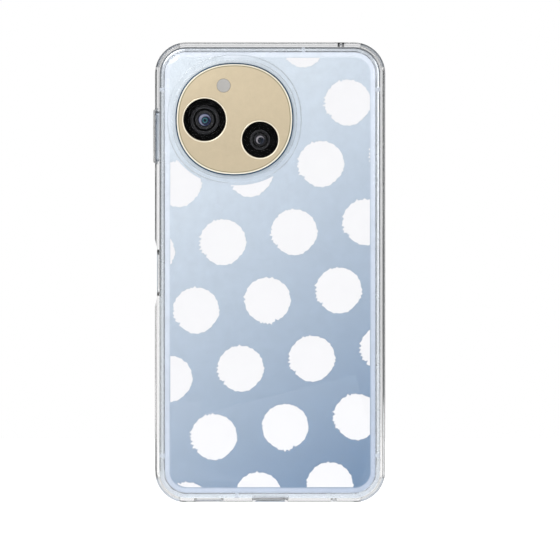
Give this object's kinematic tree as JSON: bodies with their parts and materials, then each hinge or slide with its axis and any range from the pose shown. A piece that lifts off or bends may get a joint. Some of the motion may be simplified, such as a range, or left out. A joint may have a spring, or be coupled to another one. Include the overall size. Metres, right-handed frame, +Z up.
{
  "type": "smartphone in a clear dotted case",
  "caption": "Smartphone with a round-cornered body, an oval rear camera island and side keys, in a clear lift-off case with a soft rim and a white dot print.",
  "frame": {"origin": "middle of the case's bottom edge, halfway through its thickness, on the surface it stands on", "axes": "+Z up along the phone's length, +X to the right as the back is seen, +Y out of the screen; the back with the cameras faces -Y"},
  "size_m": [0.0768, 0.0126, 0.1522],
  "materials": {
    "clear_soft": "gloss",
    "clear_hard": "gloss",
    "white_print": "satin",
    "frame_metal": "satin",
    "strip_plastic": "satin",
    "back_metal": "satin",
    "black_tape": "matte",
    "screen_glass": "gloss",
    "black_ink": "gloss",
    "display_black": "gloss",
    "flex_film": "satin",
    "island_blue": "satin",
    "plate_gold": "satin",
    "black_foam": "matte",
    "steel": "satin",
    "ring_gold": "gloss",
    "window_glass": "gloss",
    "flash_plastic": "satin",
    "led_white": "satin",
    "black_plastic": "matte",
    "board_green": "satin",
    "barrel_grey": "satin",
    "lens_glass": "gloss",
    "chip_black": "matte",
    "mic_brass": "satin",
    "black_rubber": "satin",
    "ferrite": "matte",
    "battery_wrap": "satin",
    "graphite": "satin",
    "cone_film": "satin",
    "mesh_dark": "satin",
    "tungsten": "satin",
    "sensor_dark": "satin"
  },
  "bodies": {
    "case": {"case_bumper": "clear_soft", "case_back_plate": "clear_hard", "dot_print": "white_print"},
    "volume_cover": {"case_volume_cover": "clear_soft"},
    "phone": {"mid_frame": "frame_metal", "antenna_strips": "strip_plastic", "back_cover": "back_metal", "cover_tape": "black_tape", "display_glass": "screen_glass", "screen_tape": "black_tape", "display_mask": "black_ink", "display_panel": "display_black", "display_flex": "flex_film", "camera_base": "island_blue", "camera_plate": "plate_gold", "camera_gasket": "black_foam", "camera_bracket": "steel", "main_lens_ring": "ring_gold", "main_lens_window": "window_glass", "wide_lens_ring": "ring_gold", "wide_lens_window": "window_glass", "flash_window": "flash_plastic", "flash_led": "led_white", "main_camera_housing": "black_plastic", "main_camera_sensor": "board_green", "wide_camera_housing": "black_plastic", "wide_lens_barrel": "barrel_grey", "wide_front_lens": "lens_glass", "front_camera": "black_plastic", "main_board": "board_green", "main_chips": "chip_black", "shield_cans": "steel", "board_connectors": "black_plastic", "board_screws": "steel", "sub_board": "board_green", "microphones": "mic_brass", "main_flex": "flex_film", "antenna_cable": "black_rubber", "nfc_antenna": "ferrite", "battery": "battery_wrap", "heat_spreader": "graphite", "usb_shell": "steel", "usb_tongue": "black_plastic", "loudspeaker_box": "black_plastic", "loudspeaker_lid": "steel", "earpiece_housing": "black_plastic", "sound_meshes": "mesh_dark", "haptic_housing": "steel", "key_switches": "mic_brass", "key_bracket": "steel", "sim_tray": "frame_metal", "sim_socket": "steel"},
    "volume_key": {"volume_key": "frame_metal"},
    "power_key": {"power_key": "frame_metal", "fingerprint_sensor": "sensor_dark"},
    "focus_barrel": {"main_lens_barrel": "barrel_grey", "main_front_lens": "lens_glass"},
    "loudspeaker_cone": {"loudspeaker_cone": "cone_film"},
    "earpiece_cone": {"earpiece_cone": "cone_film"},
    "haptic_mass": {"haptic_mass": "tungsten"}
  },
  "joints": [
    {"name": "phone_out", "type": "slide", "parent": "case", "child": "phone", "axis": [0, 1, 0], "range_m": [0, 0.02]},
    {"name": "volume_rocker", "type": "hinge", "parent": "phone", "child": "volume_key", "pos_m": [-0.03335, 0.00088, 0.1212], "axis": [0, 1, 0], "range_deg": [-1.2, 1.2], "stiffness_Nm_per_rad": 0.5},
    {"name": "volume_cover_flex", "type": "hinge", "parent": "case", "child": "volume_cover", "pos_m": [-0.03335, 0.00088, 0.1212], "axis": [0, 1, 0], "range_deg": [-1.2, 1.2], "stiffness_Nm_per_rad": 0.02},
    {"name": "power_press", "type": "slide", "parent": "phone", "child": "power_key", "axis": [1, 0, 0], "range_m": [0, 0.00025], "stiffness_N_per_m": 6000},
    {"name": "focus_drive", "type": "slide", "parent": "phone", "child": "focus_barrel", "axis": [0, -1, 0], "range_m": [0, 0.00035], "stiffness_N_per_m": 60},
    {"name": "loudspeaker_stroke", "type": "slide", "parent": "phone", "child": "loudspeaker_cone", "axis": [0, -1, 0], "range_m": [-0.0003, 0.0003], "stiffness_N_per_m": 1200},
    {"name": "earpiece_stroke", "type": "slide", "parent": "phone", "child": "earpiece_cone", "axis": [0, -1, 0], "range_m": [-0.0002, 0.0002], "stiffness_N_per_m": 500},
    {"name": "haptic_shake", "type": "slide", "parent": "phone", "child": "haptic_mass", "axis": [1, 0, 0], "range_m": [-0.0004, 0.0004], "stiffness_N_per_m": 1400}
  ],
  "couplings": [
    {"joint": "volume_cover_flex", "follows": "volume_rocker", "ratio": 1}
  ]
}
